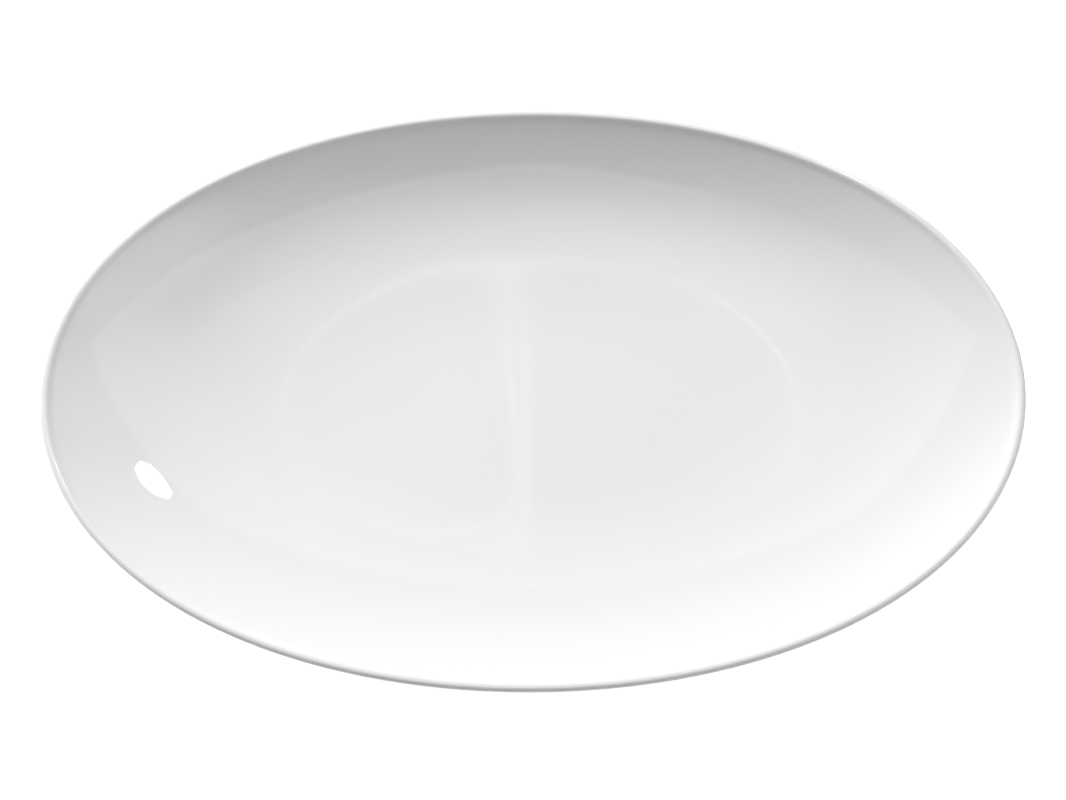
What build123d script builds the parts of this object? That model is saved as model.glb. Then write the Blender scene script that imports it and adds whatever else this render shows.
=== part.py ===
from build123d import *
from math import atan2, cos, pi, sin, sqrt
import os

# Oval coupe serving platter in white glazed porcelain, in millimetres.
# One fired body stands on a raised oval foot ring.  The glaze fused over it is two pieces: a coat
# over the eating face, the lip and the back, which stops just above the foot's bare ground edge,
# and an island of glaze inside the foot ring.
# The origin is the middle of the plane that the foot stands on, +X is the long way, +Z is up.

# Overall size, over the glaze
LENGTH = 400.0
WIDTH = 255.0
HEIGHT = 36.0
FULLNESS = 0.017  # how much squarer than an ellipse each plan oval is

# Eating face: a level middle that sweeps up into the wall
FLAT_LENGTH = 80.0
FLAT_WIDTH = 51.0
WALL_POWER = 3.0  # the wall's height grows as this power of the way out to the rim

# Thickness, over the glaze
RIM_THICK = 3.0  # also the diameter of the full round lip
FLOOR_THICK = 6.5
GLAZE_THICK = 0.25

# Foot ring, over the glaze, with its length and width along its centre line
FOOT_LENGTH = 240.0
FOOT_WIDTH = 153.0
FOOT_THICK = 5.0
FOOT_GROUND = 2.4  # width of the bare flat that is ground on the foot
BARE_HEIGHT = 1.2  # the glaze stops this far above the table
RECESS = 3.5  # height of the underside's middle above the table
COVE_REACH = 14.0  # how far from the foot's centre line its coves run out
COVE_FULLNESS = 0.45  # length of each cove's end handles, as a share of its span

# How finely the surfaces are drawn
TURNS = 24  # points round each oval
RIM_PASSES = 8  # passes to find where the wall meets the lip
COVE_PASSES = 30  # halvings to find where a cove meets the back

FLOOR_Z = RECESS + FLOOR_THICK
LIP_RADIUS = RIM_THICK / 2
UP = Vector(0, 0, 1)


def oval(length, width, turn):
    """Point of a plan oval at one turn, and the level direction straight out from it."""
    c, s = cos(turn), sin(turn)
    point = Vector(length / 2 * c * (1 + FULLNESS * s * s), width / 2 * s * (1 + FULLNESS * c * c))
    along_x = length * s * (FULLNESS * (2 * c * c - s * s) - 1)
    along_y = width * c * (FULLNESS * (c * c - 2 * s * s) + 1)
    return point, Vector(along_y, -along_x).normalized()


def bezier(start, start_handle, end_handle, end, step):
    """Point of a cubic curve between two ends, from step 0 to step 1."""
    left = 1 - step
    near = start * left**3 + start_handle * (3 * left**2 * step)
    return near + end_handle * (3 * left * step**2) + end * step**3


class Section:
    """Outline of the platter at one turn round the oval, with its skin set in by an inset.

    Each method gives one stretch of the outline, as the point at a step from 0 to 1: over the
    face and the lip, down the back, round the foot and in under the floor.
    """

    def __init__(self, turn, inset):
        self.inset = inset
        self.flat = oval(FLAT_LENGTH, FLAT_WIDTH, turn)[0]
        self.lip_centre, self.out = oval(LENGTH - RIM_THICK, WIDTH - RIM_THICK, turn)
        self.lip_centre += UP * (HEIGHT - LIP_RADIUS)
        self.foot_centre, self.foot_out = oval(FOOT_LENGTH, FOOT_WIDTH, turn)
        body_radius = FOOT_THICK / 2 - GLAZE_THICK
        self.foot_centre += UP * sqrt(body_radius**2 - (FOOT_GROUND / 2) ** 2)
        self.join_wall_to_lip()
        self.outer_way = self.way_at(COVE_REACH)
        self.inner_way = self.way_at(-COVE_REACH)

    def join_wall_to_lip(self):
        """Find the wall's rise, run and slope where it flows into the round lip."""
        self.rim_slope = 0.0
        for _ in range(RIM_PASSES):
            edge = self.lip_centre - self.out * (LIP_RADIUS * sin(self.rim_slope))
            self.rise = edge.Z + LIP_RADIUS * cos(self.rim_slope) - FLOOR_Z
            self.reach = Vector(edge.X, edge.Y) - self.flat
            self.run = self.reach.dot(self.out)
            self.rim_slope = atan2(self.rise * WALL_POWER, self.run)

    def slope(self, way):
        """Slope of the wall on the way out from the level middle, 0, to the lip, 1."""
        return atan2(self.rise * WALL_POWER * way ** (WALL_POWER - 1), self.run)

    def under(self, way, depth):
        """Point at a depth square under the glazed eating face."""
        slope = self.slope(way)
        height = FLOOR_Z + self.rise * way**WALL_POWER - depth * cos(slope)
        return self.flat + self.reach * way + self.out * (depth * sin(slope)) + UP * height

    def underneath(self, way):
        """Point on the back of the platter, which thins from the floor out to the rim."""
        thick = FLOOR_THICK + (RIM_THICK - FLOOR_THICK) * way**2
        return self.under(way, thick - self.inset)

    def way_at(self, reach):
        """Way out at which the back stands a level distance outside the foot's centre line."""
        low, high = 0.0, 1.0
        for _ in range(COVE_PASSES):
            way = (low + high) / 2
            if (self.underneath(way) - self.foot_centre).dot(self.foot_out) < reach:
                low = way
            else:
                high = way
        return way

    def along_back(self, way):
        """Direction that the back runs out and up in, at one way out."""
        slope = self.slope(way)
        return self.out * cos(slope) + UP * sin(slope)

    def face(self, step):
        return self.under(step, self.inset)

    def lip(self, step):
        angle = self.rim_slope + pi / 2 - pi * step
        radius = LIP_RADIUS - self.inset
        return self.lip_centre + self.out * (radius * cos(angle)) + UP * (radius * sin(angle))

    def back(self, step):
        return self.underneath(1 - (1 - self.outer_way) * step)

    def outer_cove(self, step):
        start, end = self.underneath(self.outer_way), self.foot(0)
        handle = (start - end).length * COVE_FULLNESS
        start_handle = start - self.along_back(self.outer_way) * handle
        return bezier(start, start_handle, end + UP * handle, end, step)

    def foot(self, step):
        angle = -pi * step
        radius = FOOT_THICK / 2 - self.inset
        level = self.foot_out * (radius * cos(angle))
        return self.foot_centre + level + UP * (radius * sin(angle))

    def inner_cove(self, step):
        start, end = self.foot(1), self.underneath(self.inner_way)
        handle = (start - end).length * COVE_FULLNESS
        end_handle = end + self.along_back(self.inner_way) * handle
        return bezier(start, start + UP * handle, end_handle, end, step)

    def underside(self, step):
        return self.underneath(self.inner_way * (1 - step))


# Each stretch of the outline, and how many ovals its surface is drawn through
STRETCHES = [
    (Section.face, 7),
    (Section.lip, 7),
    (Section.back, 5),
    (Section.outer_cove, 5),
    (Section.foot, 7),
    (Section.inner_cove, 5),
    (Section.underside, 4),
]


def skin(inset):
    """Solid inside the platter's whole surface, set in from the glazed size by an inset."""
    sections = [Section(2 * pi * turn / TURNS, inset) for turn in range(TURNS)]
    faces = []
    for stretch, rows in STRETCHES:
        rings = []
        for row in range(rows):
            points = [stretch(section, row / (rows - 1)) for section in sections]
            rings.append(Wire([Edge.make_spline(points, periodic=True)]))
        faces += Shell.make_loft(rings).faces()
        if stretch is Section.face:
            faces.append(Face(rings[0]))
    faces.append(Face(rings[-1]))
    return Solid(Shell(faces))


glazed = skin(0.0)
fired = skin(GLAZE_THICK)

# The ground flat of the foot is the table plane itself
porcelain_body = fired.split(Plane.XY, keep=Keep.TOP)
glaze = glazed.split(Plane.XY.offset(BARE_HEIGHT), keep=Keep.TOP) - fired
glaze_coat, base_glaze = glaze.solids().sort_by(SortBy.VOLUME, reverse=True)

os.makedirs("parts", exist_ok=True)
export_step(porcelain_body, "parts/porcelain_body.step")
export_step(glaze_coat, "parts/glaze_coat.step")
export_step(base_glaze, "parts/base_glaze.step")
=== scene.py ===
from math import cos, pi, radians, sin

import bpy
import numpy as np
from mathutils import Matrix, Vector


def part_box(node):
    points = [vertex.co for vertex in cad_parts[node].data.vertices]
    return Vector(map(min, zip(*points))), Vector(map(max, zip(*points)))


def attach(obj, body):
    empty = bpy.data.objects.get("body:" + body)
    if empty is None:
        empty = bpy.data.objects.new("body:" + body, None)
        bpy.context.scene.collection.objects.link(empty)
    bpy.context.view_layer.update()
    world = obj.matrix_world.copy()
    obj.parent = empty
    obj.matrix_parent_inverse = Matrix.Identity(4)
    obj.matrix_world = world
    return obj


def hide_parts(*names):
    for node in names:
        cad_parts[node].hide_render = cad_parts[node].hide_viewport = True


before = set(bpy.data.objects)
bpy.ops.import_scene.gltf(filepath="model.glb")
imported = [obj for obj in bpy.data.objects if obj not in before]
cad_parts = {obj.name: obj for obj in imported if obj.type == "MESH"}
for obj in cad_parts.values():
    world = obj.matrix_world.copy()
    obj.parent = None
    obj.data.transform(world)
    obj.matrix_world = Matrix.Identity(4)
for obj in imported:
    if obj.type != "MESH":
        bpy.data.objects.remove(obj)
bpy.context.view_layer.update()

# An oval coupe serving platter in white porcelain.  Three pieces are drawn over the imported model:
# the fired body, the coat of glaze over it, and the island of glaze inside the foot ring.

MM = 0.001

# Overall size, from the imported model
LOW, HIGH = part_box("glaze_coat")
LENGTH = HIGH.x - LOW.x
WIDTH = HIGH.y - LOW.y
HEIGHT = HIGH.z
FULLNESS = 0.017  # how much squarer than an ellipse each plan oval is

# Eating face: a level middle that sweeps up into the wall
FLAT_LENGTH = 80.0 * MM
FLAT_WIDTH = 51.0 * MM
WALL_POWER = 3.0  # the wall's height grows as this power of the way out to the rim

# Thickness, over the glaze
RIM_THICK = 3.0 * MM
FLOOR_THICK = 6.5 * MM
GLAZE_THICK = 0.25 * MM

# Soft shoulder that eases the wall over into the lip
SHOULDER_REACH = 3.5 * MM
SHOULDER_TURN = 0.35  # where it ends, in radians past the top of the lip
SHOULDER_HANDLES = (0.5, 0.4)  # lengths of its two end handles, as shares of its span

# Foot ring, with its length and width along its centre line
FOOT_LENGTH = 240.0 * MM
FOOT_WIDTH = 153.0 * MM
FOOT_THICK = 5.0 * MM
FOOT_GROUND = 2.4 * MM  # width of the bare flat that is ground on the foot
GROUND_EDGE = 0.2 * MM  # rounding where the ground flat meets the foot's sides
BARE_HEIGHT = 1.2 * MM  # the glaze stops this far above the table
RECESS = 3.5 * MM  # height of the underside's middle above the table
COVE_REACH = 14.0 * MM  # how far from the foot's centre line its coves run out
COVE_FULLNESS = 0.45  # length of each cove's end handles, as a share of its span

GLAZE_BEAD = 0.35 * MM  # height over which each glaze rounds off to its edge

# How far the kiln has bent the rim out of true
RIM_LIFT = 0.12 * MM
RIM_LIFT_AT = 0.6  # turn of the first high spot, in radians
BEND_FROM = 0.68  # share of the way out at which the bend starts

# How finely the surfaces are drawn
TURNS = 352  # points in each ring
RIM_PASSES = 8  # passes to find where the wall meets the lip
COVE_PASSES = 30  # halvings to find where a cove meets the back

# Rings along each stretch of the outline, with the ones at both its ends
MIDDLE_RINGS = 9
FACE_RINGS = 40
SHOULDER_RINGS = 9
LIP_RINGS = 13
BACK_RINGS = 17
COVE_RINGS = 13
UNDERSIDE_RINGS = 15
GLAZED_FOOT_RINGS = 5
BARE_FOOT_RINGS = 8
GROUND_EDGE_RINGS = 5
GLAZE_BEAD_RINGS = 6
FAN_REACH = 0.04  # share of the level middle that one fan of faces round the axis fills

FLOOR_Z = RECESS + FLOOR_THICK
LIP_RADIUS = RIM_THICK / 2
TURN = np.arange(TURNS) * 2 * pi / TURNS
UP = np.array([0.0, 0.0, 1.0])


# ---- Outline of the platter -------------------------------------------------------------------


def column(values):
    """One number for each turn, ready to multiply one point for each turn."""
    return np.broadcast_to(values, TURNS)[:, None]


def oval(length, width):
    """Points of a plan oval, one at each turn, and the level directions straight out from them."""
    c, s = np.cos(TURN), np.sin(TURN)
    level = np.zeros(TURNS)
    x = length / 2 * c * (1 + FULLNESS * s * s)
    y = width / 2 * s * (1 + FULLNESS * c * c)
    along_x = length * s * (FULLNESS * (2 * c * c - s * s) - 1)
    along_y = width * c * (FULLNESS * (c * c - 2 * s * s) + 1)
    out = np.stack([along_y, -along_x, level], axis=1)
    return np.stack([x, y, level], axis=1), out / np.linalg.norm(out, axis=1)[:, None]


def bezier(start, start_handle, end_handle, end, step):
    """Points of cubic curves between two rings, from step 0 to step 1."""
    left = 1 - step
    near = start * left**3 + start_handle * (3 * left**2 * step)
    return near + end_handle * (3 * left * step**2) + end * step**3


def steps(count, start=0.0, stop=1.0):
    """Even steps from start to stop, with both ends."""
    return np.linspace(start, stop, count)


class Skin:
    """Surface of the platter at every turn at once, set in from its glazed size by an inset.

    Each method gives one ring of points, at a step from 0 to 1 along its stretch of the outline.
    """

    def __init__(self, inset):
        self.inset = inset
        self.flat = oval(FLAT_LENGTH, FLAT_WIDTH)[0]
        self.lip_centre, self.out = oval(LENGTH - RIM_THICK, WIDTH - RIM_THICK)
        self.lip_centre = self.lip_centre + UP * (HEIGHT - LIP_RADIUS)
        self.foot_centre, self.foot_out = oval(FOOT_LENGTH, FOOT_WIDTH)
        body_radius = FOOT_THICK / 2 - GLAZE_THICK
        self.foot_z = (body_radius**2 - (FOOT_GROUND / 2) ** 2) ** 0.5
        self.foot_centre = self.foot_centre + UP * self.foot_z
        self.foot_radius = FOOT_THICK / 2 - inset
        self.join_wall_to_lip()
        self.shoulder_way = 1 - SHOULDER_REACH / self.run
        self.outer_way = self.way_at(COVE_REACH)
        self.inner_way = self.way_at(-COVE_REACH)

    def join_wall_to_lip(self):
        """Find the wall's rise, run and slope where it flows into the round lip."""
        self.rim_slope = np.zeros(TURNS)
        for _ in range(RIM_PASSES):
            edge = self.lip_centre - self.out * column(LIP_RADIUS * np.sin(self.rim_slope))
            self.rise = edge[:, 2] + LIP_RADIUS * np.cos(self.rim_slope) - FLOOR_Z
            self.reach = edge * [1, 1, 0] - self.flat
            self.run = np.sum(self.reach * self.out, axis=1)
            self.rim_slope = np.arctan2(self.rise * WALL_POWER, self.run)

    def slope(self, way):
        """Slope of the wall on the way out from the level middle, 0, to the lip, 1."""
        return np.arctan2(self.rise * WALL_POWER * way ** (WALL_POWER - 1), self.run)

    def under(self, way, depth):
        """Points at a depth square under the glazed eating face."""
        slope = self.slope(way)
        height = FLOOR_Z + self.rise * way**WALL_POWER - depth * np.cos(slope)
        level = self.flat + self.reach * column(way) + self.out * column(depth * np.sin(slope))
        return level + UP * column(height)

    def underneath(self, way):
        """Points on the back of the platter, which thins from the floor out to the rim."""
        thick = FLOOR_THICK + (RIM_THICK - FLOOR_THICK) * way**2
        return self.under(way, thick - self.inset)

    def way_at(self, reach):
        """Ways out at which the back stands a level distance outside the foot's centre line."""
        low, high = np.zeros(TURNS), np.ones(TURNS)
        for _ in range(COVE_PASSES):
            way = (low + high) / 2
            short = np.sum((self.underneath(way) - self.foot_centre) * self.foot_out, axis=1) < reach
            low = np.where(short, way, low)
            high = np.where(short, high, way)
        return way

    def along_back(self, way):
        """Directions that the back runs out and up in."""
        slope = self.slope(way)
        return self.out * column(np.cos(slope)) + UP * column(np.sin(slope))

    def middle(self, step):
        """From the centre of the eating face to the edge of its level middle."""
        return self.flat * step + UP * (FLOOR_Z - self.inset)

    def face(self, step):
        return self.under(self.shoulder_way * step, self.inset)

    def shoulder(self, step):
        """From the wall, over to just past the top of the lip."""
        start, end = self.face(1), self.lip(0)
        span = column(np.linalg.norm(end - start, axis=1))
        rise = self.along_back(self.shoulder_way) * span * SHOULDER_HANDLES[0]
        fall = self.out * cos(SHOULDER_TURN) - UP * sin(SHOULDER_TURN)
        return bezier(start, start + rise, end - fall * span * SHOULDER_HANDLES[1], end, step)

    def lip(self, step):
        angle = (1 - step) * (pi / 2 - SHOULDER_TURN) + step * (self.rim_slope - pi / 2)
        radius = LIP_RADIUS - self.inset
        level = self.out * column(radius * np.cos(angle))
        return self.lip_centre + level + UP * column(radius * np.sin(angle))

    def back(self, step):
        return self.underneath(1 - (1 - self.outer_way) * step)

    def outer_cove(self, step):
        start, end = self.underneath(self.outer_way), self.foot(0)
        handle = column(np.linalg.norm(start - end, axis=1) * COVE_FULLNESS)
        start_handle = start - self.along_back(self.outer_way) * handle
        return bezier(start, start_handle, end + UP * handle, end, step)

    def foot(self, step):
        angle = -pi * step
        level = self.foot_out * (self.foot_radius * cos(angle))
        return self.foot_centre + level + UP * (self.foot_radius * sin(angle))

    def foot_step(self, height):
        """Step down the foot's outer side at which it comes to a height above the table."""
        return np.arcsin((self.foot_z - height) / self.foot_radius) / pi

    def inner_cove(self, step):
        start, end = self.foot(1), self.underneath(self.inner_way)
        handle = column(np.linalg.norm(start - end, axis=1) * COVE_FULLNESS)
        end_handle = end + self.along_back(self.inner_way) * handle
        return bezier(start, start + UP * handle, end_handle, end, step)

    def underside(self, step):
        """From the inner cove to the centre of the underside."""
        return self.underneath(self.inner_way * (1 - step))

    def under_middle(self, step):
        return self.flat * (1 - step) + UP * (RECESS + self.inset)

    def over_the_rim(self):
        """Rings from the centre of the eating face, over the lip and down to the foot's side."""
        rings = [self.middle(step) for step in steps(MIDDLE_RINGS, FAN_REACH, 1)]
        rings += [self.face(step) for step in steps(FACE_RINGS)[1:]]
        rings += [self.shoulder(step) for step in steps(SHOULDER_RINGS)[1:]]
        rings += [self.lip(step) for step in steps(LIP_RINGS)[1:]]
        rings += [self.back(step) for step in steps(BACK_RINGS)[1:]]
        rings += [self.outer_cove(step) for step in steps(COVE_RINGS)[1:]]
        return rings

    def under_the_floor(self):
        """Rings from the foot's inner side, in under the floor to its centre."""
        rings = [self.inner_cove(step) for step in steps(COVE_RINGS)]
        rings += [self.underside(step) for step in steps(UNDERSIDE_RINGS)[1:]]
        rings += [self.under_middle(step) for step in steps(MIDDLE_RINGS, 0, 1 - FAN_REACH)[1:]]
        return rings

    def down_the_foot(self, height, count):
        """Rings down the foot's outer side, to a height above the table."""
        return [self.foot(step) for step in steps(count, 0, self.foot_step(height))[1:]]

    def up_the_foot(self, height, count):
        """Rings up the foot's inner side, from a height above the table."""
        return [self.foot(step) for step in steps(count, 1 - self.foot_step(height), 1)[:-1]]


# ---- Meshes -----------------------------------------------------------------------------------


def bend_in_the_kiln(points):
    """Lift and drop the rim a little, twice round, and leave the middle and the foot true."""
    share = np.hypot(points[:, 0] / (LENGTH / 2), points[:, 1] / (WIDTH / 2))
    turn = np.arctan2(points[:, 1], points[:, 0])
    bend = np.maximum(share - BEND_FROM, 0) / (1 - BEND_FROM)
    bent = points.copy()
    bent[:, 2] += RIM_LIFT * bend**2 * np.cos(2 * (turn - RIM_LIFT_AT))
    return bent


def turned_piece(name, rings):
    """Closed mesh through rings of points, with its two ends drawn together on the axis."""
    ends = [rings[0].mean(axis=0), rings[-1].mean(axis=0)]
    points = bend_in_the_kiln(np.concatenate([ends[:1], *rings, ends[1:]]))
    starts = [1 + row * TURNS for row in range(len(rings))]
    last = len(points) - 1
    faces = []
    for turn in range(TURNS):
        beside = (turn + 1) % TURNS
        faces.append((0, starts[0] + turn, starts[0] + beside))
        for near, far in zip(starts, starts[1:]):
            faces.append((near + turn, far + turn, far + beside, near + beside))
        faces.append((last, starts[-1] + beside, starts[-1] + turn))
    mesh = bpy.data.meshes.new(name)
    mesh.from_pydata(points.tolist(), [], faces)
    mesh.shade_smooth()
    piece = bpy.data.objects.new(name, mesh)
    bpy.context.scene.collection.objects.link(piece)
    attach(piece, "root")
    return piece


def glaze_bead(outer, inner):
    """Rings that round a glaze's edge off, from a ring on its surface to one on the body."""
    low = outer * [1, 1, 0] + UP * inner[0, 2]
    return [bezier(outer, low, low, inner, step) for step in steps(GLAZE_BEAD_RINGS)[1:-1]]


def make_glaze_coat(glaze, fired):
    """Coat over the eating face, the lip and the back, down to the bare edge of the foot."""
    edge = BARE_HEIGHT + GLAZE_BEAD
    outside = glaze.over_the_rim() + glaze.down_the_foot(edge, GLAZED_FOOT_RINGS)
    inside = fired.over_the_rim() + fired.down_the_foot(BARE_HEIGHT, GLAZED_FOOT_RINGS)
    bead = glaze_bead(outside[-1], inside[-1])
    piece = turned_piece("glaze_over_platter", outside + bead + inside[::-1])
    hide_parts("glaze_coat")
    return piece


def make_base_glaze(glaze, fired):
    """Island of glaze inside the foot ring."""
    edge = BARE_HEIGHT + GLAZE_BEAD
    outside = glaze.up_the_foot(edge, GLAZED_FOOT_RINGS) + glaze.under_the_floor()
    inside = fired.up_the_foot(BARE_HEIGHT, GLAZED_FOOT_RINGS) + fired.under_the_floor()
    bead = glaze_bead(outside[0], inside[0])
    piece = turned_piece("glaze_inside_foot", inside[::-1] + bead[::-1] + outside)
    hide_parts("base_glaze")
    return piece


def ground_edge(side, corner, flat):
    """Rings that ease the edge between the foot's side and its ground flat."""
    along = flat - corner
    end = corner + along * (GROUND_EDGE / np.linalg.norm(along, axis=1))[:, None]
    return [bezier(side, corner, corner, end, step) for step in steps(GROUND_EDGE_RINGS)]


def make_fired_body(fired):
    """Porcelain body, with its foot ground flat and the edges of the flat eased."""
    outer_cut = fired.foot(fired.foot_step(0))
    inner_cut = fired.foot(1 - fired.foot_step(0))
    outer_side = fired.down_the_foot(GROUND_EDGE / 2, BARE_FOOT_RINGS)
    inner_side = fired.up_the_foot(GROUND_EDGE / 2, BARE_FOOT_RINGS)
    rings = fired.over_the_rim() + outer_side[:-1]
    rings += ground_edge(outer_side[-1], outer_cut, inner_cut)
    rings += ground_edge(inner_side[0], inner_cut, outer_cut)[::-1]
    rings += inner_side[1:] + fired.under_the_floor()
    piece = turned_piece("fired_porcelain_body", rings)
    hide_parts("porcelain_body")
    return piece


# ---- Materials --------------------------------------------------------------------------------

# Glaze.  Sizes and depths are in metres
GLAZE_IOR = 1.55
WHITE = (0.868, 0.868, 0.866, 1)
WHITE_CLOUD = (0.856, 0.857, 0.858, 1)
POOLED_WHITE = (0.790, 0.812, 0.816, 1)
POOL_FACING = (0.2, -0.4)  # height of the surface's normal where pooling starts, and where it is full
TONE_PATCH = 0.045
GLOSS_PATCH = 0.02
GLOSS = (0.018, 0.030)
SPECK_TONE = (0.33, 0.26, 0.20, 1)
SPECK_STRENGTH = 0.25

# What differs between the two glazes
GLAZE_OVER_PLATTER = {
    "specks": {"spacing": 0.042, "radius": 0.0007, "share": 0.4},
    "pool": {"top": 0.010, "unevenness": 0.3, "patch_size": 0.015},
    "pinhole_depth": 1e-5,
    "wave_depth": 4e-5,
}
GLAZE_INSIDE_FOOT = {
    "specks": {"spacing": 0.011, "radius": 0.0004, "share": 0.45},
    "pool": {"top": 0.006, "unevenness": 0.6, "patch_size": 0.008},
    "pinhole_depth": 6e-5,
    "wave_depth": 8e-5,
}

# Bare porcelain.  Sizes and depths are in metres
BARE_CLAY = (0.78, 0.755, 0.715, 1)
BARE_CLAY_DARK = (0.72, 0.685, 0.635, 1)
BARE_CLAY_PATCH = 0.009
BARE_SHINE = 0.35
BARE_ROUGHNESS = (0.65, 0.92)
BARE_GRAIN = {"size": 0.001, "detail": 3.0}
BARE_SPECKS = {"spacing": 0.004, "radius": 0.0003, "share": 0.25}
BARE_SPECK_STRENGTH = 0.5
RUBBED_CLAY = (0.58, 0.56, 0.53, 1)
RUBBED_PATCHES = {"size": 0.003, "detail": 4.0}
GRIT = {"wave_size": 0.0012, "wave_depth": 2.5e-5, "peel_size": 0.0003, "peel_depth": 1e-5}


def add_node(tree, kind, values, **settings):
    """New node, with each input in values set to a number or linked to another node's output."""
    made = tree.nodes.new(kind)
    for name, value in settings.items():
        setattr(made, name, value)
    for socket, value in values.items():
        if isinstance(value, bpy.types.NodeSocket):
            tree.links.new(value, made.inputs[socket])
        else:
            made.inputs[socket].default_value = value
    return made


def calculate(tree, operation, *numbers):
    """Output of one operation on numbers or on other nodes' outputs."""
    values = dict(enumerate(numbers))
    return add_node(tree, "ShaderNodeMath", values, operation=operation).outputs["Value"]


def mix_colors(tree, share, first, second):
    """Color between the first and the second, by a share from 0 to 1."""
    values = {0: share, 6: first, 7: second}
    return add_node(tree, "ShaderNodeMix", values, data_type="RGBA").outputs[2]


def new_group(name, inputs, output):
    """Shader group with number inputs and one number out, and the nodes that hold them."""
    group = bpy.data.node_groups.new(name, "ShaderNodeTree")
    for label, value in inputs.items():
        socket = group.interface.new_socket(label, in_out="INPUT", socket_type="NodeSocketFloat")
        socket.default_value = value
    group.interface.new_socket(output, in_out="OUTPUT", socket_type="NodeSocketFloat")
    return group, group.nodes.new("NodeGroupInput").outputs, group.nodes.new("NodeGroupOutput")


def place_group(tree, group, **values):
    """Output of a shared group, with its inputs given by name, with _ for each space."""
    placed = tree.nodes.new("ShaderNodeGroup")
    placed.node_tree = group
    for label, value in values.items():
        socket = placed.inputs[label.replace("_", " ").capitalize()]
        if isinstance(value, bpy.types.NodeSocket):
            tree.links.new(value, socket)
        else:
            socket.default_value = value
    return placed.outputs[0]


def make_cloud_group():
    """Smooth noise over a piece, about 0 to 1, with patches of about a size in metres."""
    inputs = {"Size": 0.02, "Detail": 2.0}
    group, given, result = new_group("smooth_cloud", inputs, "Cloud")
    place = group.nodes.new("ShaderNodeTexCoord").outputs["Object"]
    scale = calculate(group, "DIVIDE", 1.0, given["Size"])
    values = {"Vector": place, "Scale": scale, "Detail": given["Detail"]}
    noise = add_node(group, "ShaderNodeTexNoise", values)
    group.links.new(noise.outputs["Fac"], result.inputs["Cloud"])
    return group


def make_ripple_group():
    """Height of the slow waves left by forming and of the glaze's fine orange peel, in metres."""
    inputs = {"Wave size": 0.06, "Wave depth": 3e-5, "Peel size": 0.003, "Peel depth": 4e-7}
    group, given, result = new_group("fired_ripple", inputs, "Height")
    waves = place_group(group, cloud_group, size=given["Wave size"], detail=1.0)
    peel = place_group(group, cloud_group, size=given["Peel size"])
    wave_height = calculate(group, "MULTIPLY", waves, given["Wave depth"])
    peel_height = calculate(group, "MULTIPLY", peel, given["Peel depth"])
    total = calculate(group, "ADD", wave_height, peel_height)
    group.links.new(total, result.inputs["Height"])
    return group


def make_speck_group():
    """Mask of small round specks: one in a share of the cells, each cell a spacing across."""
    inputs = {"Spacing": 0.05, "Radius": 0.0005, "Share": 0.3}
    group, given, result = new_group("kiln_specks", inputs, "Mask")
    place = group.nodes.new("ShaderNodeTexCoord").outputs["Object"]
    scale = calculate(group, "DIVIDE", 1.0, given["Spacing"])
    cells = add_node(group, "ShaderNodeTexVoronoi", {"Vector": place, "Scale": scale})
    reach = calculate(group, "MULTIPLY", given["Radius"], scale)
    values = {"Value": cells.outputs["Distance"], "From Min": reach, "From Max": 0.0}
    dot = add_node(group, "ShaderNodeMapRange", values, interpolation_type="SMOOTHSTEP")
    luck = add_node(group, "ShaderNodeSeparateColor", {"Color": cells.outputs["Color"]})
    chosen = calculate(group, "LESS_THAN", luck.outputs["Red"], given["Share"])
    mask = calculate(group, "MULTIPLY", dot.outputs["Result"], chosen)
    group.links.new(mask, result.inputs["Mask"])
    return group


def make_pool_group():
    """Mask of where molten glaze runs thick: low down on the side that faces the table."""
    inputs = {"Top": 0.012, "Unevenness": 0.3, "Patch size": 0.012}
    group, given, result = new_group("glaze_pooling", inputs, "Mask")
    shape = group.nodes.new("ShaderNodeTexCoord").outputs
    place = add_node(group, "ShaderNodeSeparateXYZ", {"Vector": shape["Object"]})
    facing = add_node(group, "ShaderNodeSeparateXYZ", {"Vector": shape["Normal"]})
    values = {"Value": place.outputs["Z"], "From Min": given["Top"], "From Max": 0.0}
    low = add_node(group, "ShaderNodeMapRange", values, interpolation_type="SMOOTHSTEP")
    start, full = POOL_FACING
    values = {"Value": facing.outputs["Z"], "From Min": start, "From Max": full}
    under = add_node(group, "ShaderNodeMapRange", values)
    patches = place_group(group, cloud_group, size=given["Patch size"])
    worn = calculate(group, "MULTIPLY", patches, given["Unevenness"])
    kept = calculate(group, "SUBTRACT", 1.0, worn)
    both = calculate(group, "MULTIPLY", low.outputs["Result"], under.outputs["Result"])
    mask = calculate(group, "MULTIPLY", both, kept)
    group.links.new(mask, result.inputs["Mask"])
    return group


def new_material(name):
    material = bpy.data.materials.new(name)
    material.use_nodes = True
    tree = material.node_tree
    return material, tree, tree.nodes["Principled BSDF"]


def feed_bump(tree, shader, height):
    """Raise and sink the surface's shading by a height in metres."""
    bump = add_node(tree, "ShaderNodeBump", {"Height": height, "Strength": 1.0, "Distance": 1.0})
    tree.links.new(bump.outputs["Normal"], shader.inputs["Normal"])


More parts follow.
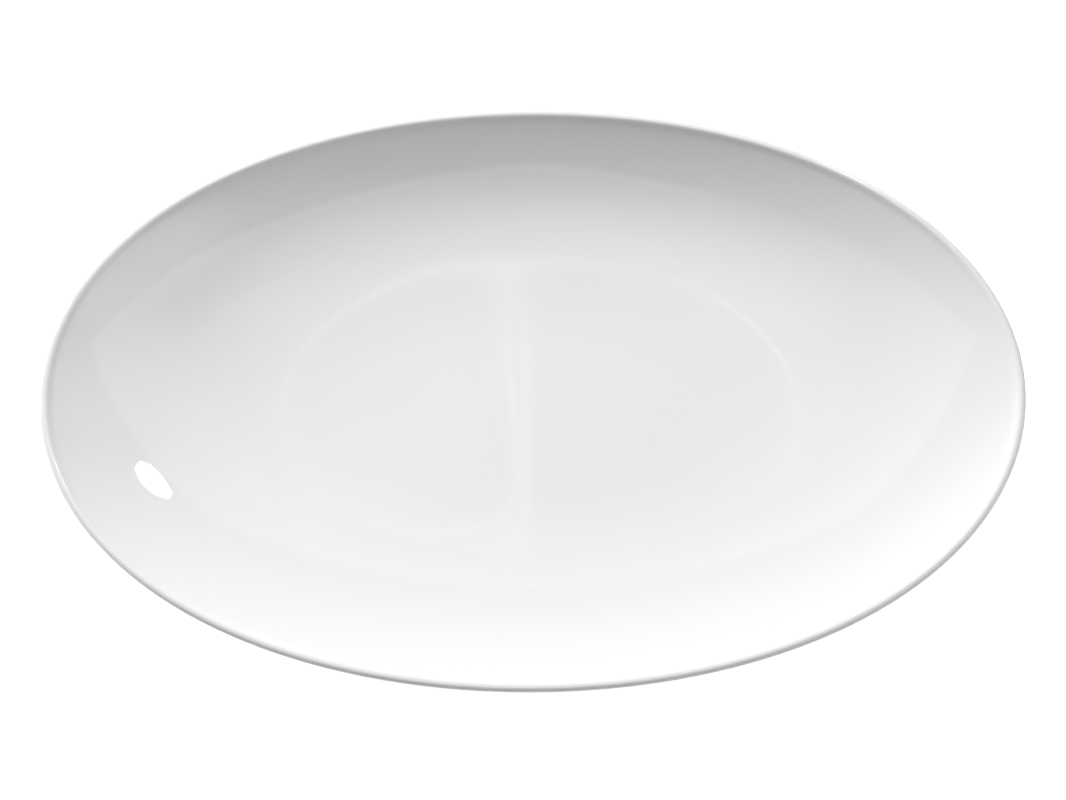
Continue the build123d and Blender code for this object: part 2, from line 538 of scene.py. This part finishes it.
def white_glaze(name, specks, pool, pinhole_depth, wave_depth):
    """Glossy clear glaze fused over white porcelain."""
    material, tree, shader = new_material(name)
    shader.inputs["IOR"].default_value = GLAZE_IOR
    speckled = place_group(tree, speck_group, **specks)
    pooled = place_group(tree, pool_group, **pool)
    patches = place_group(tree, cloud_group, size=TONE_PATCH)
    tone = mix_colors(tree, patches, WHITE, WHITE_CLOUD)
    tone = mix_colors(tree, pooled, tone, POOLED_WHITE)
    stain = calculate(tree, "MULTIPLY", speckled, SPECK_STRENGTH)
    tree.links.new(mix_colors(tree, stain, tone, SPECK_TONE), shader.inputs["Base Color"])
    smears = place_group(tree, cloud_group, size=GLOSS_PATCH)
    gloss = {"Value": smears, "To Min": GLOSS[0], "To Max": GLOSS[1]}
    gloss = add_node(tree, "ShaderNodeMapRange", gloss).outputs["Result"]
    tree.links.new(gloss, shader.inputs["Roughness"])
    ripple = place_group(tree, ripple_group, wave_depth=wave_depth)
    pit = calculate(tree, "MULTIPLY", speckled, pinhole_depth)
    feed_bump(tree, shader, calculate(tree, "SUBTRACT", ripple, pit))
    return material


def bare_porcelain(name):
    """Matt unglazed porcelain, ground and rubbed where it stands."""
    material, tree, shader = new_material(name)
    shader.inputs["Specular IOR Level"].default_value = BARE_SHINE
    specks = place_group(tree, speck_group, **BARE_SPECKS)
    patches = place_group(tree, cloud_group, size=BARE_CLAY_PATCH)
    tone = mix_colors(tree, patches, BARE_CLAY, BARE_CLAY_DARK)
    place = tree.nodes.new("ShaderNodeTexCoord").outputs["Object"]
    height = add_node(tree, "ShaderNodeSeparateXYZ", {"Vector": place}).outputs["Z"]
    low = {"Value": height, "From Min": GROUND_EDGE, "From Max": 0.0}
    low = add_node(tree, "ShaderNodeMapRange", low).outputs["Result"]
    rubbed = calculate(tree, "MULTIPLY", low, place_group(tree, cloud_group, **RUBBED_PATCHES))
    tone = mix_colors(tree, rubbed, tone, RUBBED_CLAY)
    stain = calculate(tree, "MULTIPLY", specks, BARE_SPECK_STRENGTH)
    tree.links.new(mix_colors(tree, stain, tone, SPECK_TONE), shader.inputs["Base Color"])
    grain = place_group(tree, cloud_group, **BARE_GRAIN)
    matt = {"Value": grain, "To Min": BARE_ROUGHNESS[0], "To Max": BARE_ROUGHNESS[1]}
    matt = add_node(tree, "ShaderNodeMapRange", matt).outputs["Result"]
    tree.links.new(matt, shader.inputs["Roughness"])
    feed_bump(tree, shader, place_group(tree, ripple_group, **GRIT))
    return material


cloud_group = make_cloud_group()
ripple_group = make_ripple_group()
speck_group = make_speck_group()
pool_group = make_pool_group()


# ---- Studio -----------------------------------------------------------------------------------

CAMERA_ELEVATION = 67.8
CAMERA_AZIMUTH = -0.5
CAMERA_DISTANCE = 1.1
CAMERA_LENS = 90.2
CAMERA_CLIP = (0.01, 100)
AIM = Vector((0, 1.7 * MM, HEIGHT / 2))

TABLE_SIZE = 6.0
TABLE_WHITE = (0.9, 0.9, 0.9, 1)
TABLE_ROUGHNESS = 0.9
TABLE_PAINTED_GLOW = 0.5  # painted light: the table glows in an oval pool round the platter, though it is no lamp
TABLE_PAINTED_CAMERA_GLOW = 0.3  # more painted light added to it, where the camera sees the table
# Where the painted glow is gone and where it is full, under the rim and far out, in half sizes of the
# platter; where it is gone under the platter it paints shade there
PAINTED_SHADE_UNDER_PLATTER = (0.6, 1.05)
PAINTED_POOL_EDGE = (3.4, 1.9)
BACKDROP = 0.62  # brightness of the room as the camera sees it
ROOM_LIGHT = 0.05  # brightness of the room between its soft lights

# Soft lights far off round the room: azimuth, elevation and reach in degrees, and brightness.
# Azimuth 0 is the near side and 90 the right side.
SOFT_LIGHTS = {
    "low_behind_left": (225, 15, 34, 1.2),
    "low_right": (88, 9, 24, 2.6),
    "high_right": (72, 52, 20, 1.5),
    "high_back_right": (112, 52, 20, 0.8),
    "near_right": (50, 68, 18, 0.4),
    "overhead": (0, 90, 20, 1.1),
}

# Window lights, which don't show in reflections: azimuth, elevation, distance, radius and brightness
WINDOWS = {
    "window_low": (218, 22, 2.2, 0.55, 12),
    "window_high": (225, 32, 2.2, 0.55, 4.5),
}

# Lit cloths that hang level over the platter: corners, brightness
CANOPY_HEIGHT = 1.5
CANOPIES = {
    "canopy": (
        [(0, -0.7), (0.5, -0.15), (0.8, 0.35), (0.3, 1.3), (-0.3, 1.3), (-0.8, 0.35), (-0.5, -0.15)],
        0.75,
    ),
    "canopy_core": ([(0, -0.1), (0.5, 0.5), (0.1, 1.05), (-0.15, 0.6), (-0.1, 0.05)], 0.5),
}
# Level tubes just under them: start, end, width, brightness
TUBE_HEIGHT = 1.49
TUBES = {
    "tube_left": ((0.01, 0.25), (-0.03, 0.8), 0.008, 0.8),
    "tube_right": ((0, 0.32), (-0.005, 0.8), 0.008, 0.8),
}
# Oblong lamp that faces the platter
LAMP_SIDES = 8
LAMP_PLACE = Vector((0.48, 1.09, 1.42))
LAMP_SIZE = (0.13, 0.215)
LAMP_ROLL = 33  # degrees
LAMP_BRIGHTNESS = 30


def direction(azimuth, elevation):
    """Direction in which a place lies from the platter."""
    level = cos(radians(elevation))
    return Vector(
        (sin(radians(azimuth)) * level, -cos(radians(azimuth)) * level, sin(radians(elevation)))
    )


def make_camera():
    camera = bpy.data.objects.new("camera", bpy.data.cameras.new("camera"))
    bpy.context.scene.collection.objects.link(camera)
    camera.data.lens = CAMERA_LENS
    back = direction(CAMERA_AZIMUTH, CAMERA_ELEVATION)
    camera.location = AIM + back * CAMERA_DISTANCE
    camera.rotation_mode = "QUATERNION"
    camera.rotation_quaternion = (-back).to_track_quat("-Z", "Y")
    camera.data.clip_start, camera.data.clip_end = CAMERA_CLIP
    bpy.context.scene.camera = camera


def flat_card(name, corners):
    """Flat sheet of the studio, with one face."""
    mesh = bpy.data.meshes.new(name)
    mesh.from_pydata([tuple(corner) for corner in corners], [], [tuple(range(len(corners)))])
    card = bpy.data.objects.new(name, mesh)
    bpy.context.scene.collection.objects.link(card)
    return card


def painted_table_light(tree):
    """Painted light on the table: a glowing pool round the platter that fades out under it, as
    painted shade, and far out.
    """
    place = tree.nodes.new("ShaderNodeTexCoord").outputs["Object"]
    across = {0: place, 1: (2 / LENGTH, 2 / WIDTH, 0)}
    across = add_node(tree, "ShaderNodeVectorMath", across, operation="MULTIPLY").outputs["Vector"]
    away = add_node(tree, "ShaderNodeVectorMath", {0: across}, operation="LENGTH").outputs["Value"]
    # painted light: the table glows, brighter where the camera sees it
    seen = tree.nodes.new("ShaderNodeLightPath").outputs["Is Camera Ray"]
    glow = calculate(tree, "MULTIPLY_ADD", seen, TABLE_PAINTED_CAMERA_GLOW, TABLE_PAINTED_GLOW)
    # painted shade: the glow fades out under the platter, and it also fades far out
    for gone, full in (PAINTED_SHADE_UNDER_PLATTER, PAINTED_POOL_EDGE):
        values = {"Value": away, "From Min": gone, "From Max": full}
        fade = add_node(tree, "ShaderNodeMapRange", values, interpolation_type="SMOOTHSTEP")
        glow = calculate(tree, "MULTIPLY", fade.outputs["Result"], glow)
    return glow


def make_table():
    far = TABLE_SIZE / 2
    table = flat_card("table", [(-far, -far, 0), (far, -far, 0), (far, far, 0), (-far, far, 0)])
    material, tree, shader = new_material("white table")
    shader.inputs["Base Color"].default_value = TABLE_WHITE
    shader.inputs["Roughness"].default_value = TABLE_ROUGHNESS
    shader.inputs["Specular IOR Level"].default_value = 0.0
    shader.inputs["Emission Color"].default_value = (1, 1, 1, 1)
    # The table's emission is painted light, with painted shade under the platter
    tree.links.new(painted_table_light(tree), shader.inputs["Emission Strength"])
    table.data.materials.append(material)


def make_room():
    """Soft lights far off round the room, behind a plain backdrop that only the camera sees."""
    world = bpy.data.worlds.new("studio room")
    world.use_nodes = True
    tree = world.node_tree
    place = tree.nodes.new("ShaderNodeTexCoord").outputs["Generated"]
    total = ROOM_LIGHT
    for name, (azimuth, elevation, reach, brightness) in SOFT_LIGHTS.items():
        facing = {0: place, 1: direction(azimuth, elevation)}
        facing = add_node(tree, "ShaderNodeVectorMath", facing, operation="DOT_PRODUCT")
        edge = cos(radians(reach))
        values = {"Value": facing.outputs["Value"], "From Min": edge, "To Max": brightness}
        fade = add_node(tree, "ShaderNodeMapRange", values, interpolation_type="SMOOTHSTEP")
        fade.name = name
        total = calculate(tree, "ADD", fade.outputs["Result"], total)
    seen = tree.nodes.new("ShaderNodeLightPath").outputs["Is Camera Ray"]
    choice = add_node(tree, "ShaderNodeMix", {"Factor": seen, "A": total, "B": BACKDROP})
    background = tree.nodes["Background"].inputs
    background["Color"].default_value = (1, 1, 1, 1)
    tree.links.new(choice.outputs["Result"], background["Strength"])
    bpy.context.scene.world = world


def lit_cloth(name, brightness):
    """Glow of a lamp's cloth, added to the light that comes through it."""
    material = bpy.data.materials.new(name)
    material.use_nodes = True
    tree = material.node_tree
    tree.nodes.clear()
    clear = tree.nodes.new("ShaderNodeBsdfTransparent").outputs[0]
    light = add_node(tree, "ShaderNodeEmission", {"Strength": brightness}).outputs[0]
    both = add_node(tree, "ShaderNodeAddShader", {0: clear, 1: light}).outputs[0]
    add_node(tree, "ShaderNodeOutputMaterial", {"Surface": both})
    return material


def make_light_card(name, corners, brightness):
    card = flat_card(name, corners)
    card.data.materials.append(lit_cloth(name, brightness))
    card.visible_camera = False


def make_canopy(name, corners, brightness):
    make_light_card(name, [(x, y, CANOPY_HEIGHT) for x, y in corners], brightness)


def make_tube(name, start, end, width, brightness):
    start, end = Vector((*start, TUBE_HEIGHT)), Vector((*end, TUBE_HEIGHT))
    side = (end - start).cross(Vector((0, 0, 1))).normalized() * (width / 2)
    make_light_card(name, [start - side, start + side, end + side, end - side], brightness)


def make_lamp():
    towards = LAMP_PLACE.normalized()
    right = Vector((-towards.y, towards.x, 0)).normalized()
    up = towards.cross(right)
    roll = radians(LAMP_ROLL)
    corners = []
    for corner in range(LAMP_SIDES):
        turn = (corner + 0.5) * 2 * pi / LAMP_SIDES
        x, y = cos(turn) * LAMP_SIZE[0] / 2, sin(turn) * LAMP_SIZE[1] / 2
        x, y = x * cos(roll) - y * sin(roll), x * sin(roll) + y * cos(roll)
        corners.append(LAMP_PLACE + right * x + up * y)
    make_light_card("lamp", corners, LAMP_BRIGHTNESS)


def make_window(name, azimuth, elevation, distance, radius, brightness):
    light = bpy.data.lights.new(name, "AREA")
    light.shape = "DISK"
    light.size = radius * 2
    light.energy = brightness * pi * (pi * radius**2)
    window = bpy.data.objects.new(name, light)
    bpy.context.scene.collection.objects.link(window)
    towards = direction(azimuth, elevation)
    window.location = towards * distance
    window.rotation_mode = "QUATERNION"
    window.rotation_quaternion = towards.to_track_quat("Z", "Y")
    window.visible_camera = False
    window.visible_glossy = False


# ---- The platter in its studio ----------------------------------------------------------------

glaze_skin = Skin(0.0)
fired_skin = Skin(GLAZE_THICK)
coat = make_glaze_coat(glaze_skin, fired_skin)
island = make_base_glaze(glaze_skin, fired_skin)
fired_body = make_fired_body(fired_skin)
coat.data.materials.append(white_glaze("glaze_over_platter", **GLAZE_OVER_PLATTER))
island.data.materials.append(white_glaze("glaze_inside_foot", **GLAZE_INSIDE_FOOT))
fired_body.data.materials.append(bare_porcelain("bare_porcelain"))

bpy.context.scene.view_settings.view_transform = "Standard"
make_table()
make_room()
for name, values in WINDOWS.items():
    make_window(name, *values)
for name, values in CANOPIES.items():
    make_canopy(name, *values)
for name, values in TUBES.items():
    make_tube(name, *values)
make_lamp()
make_camera()
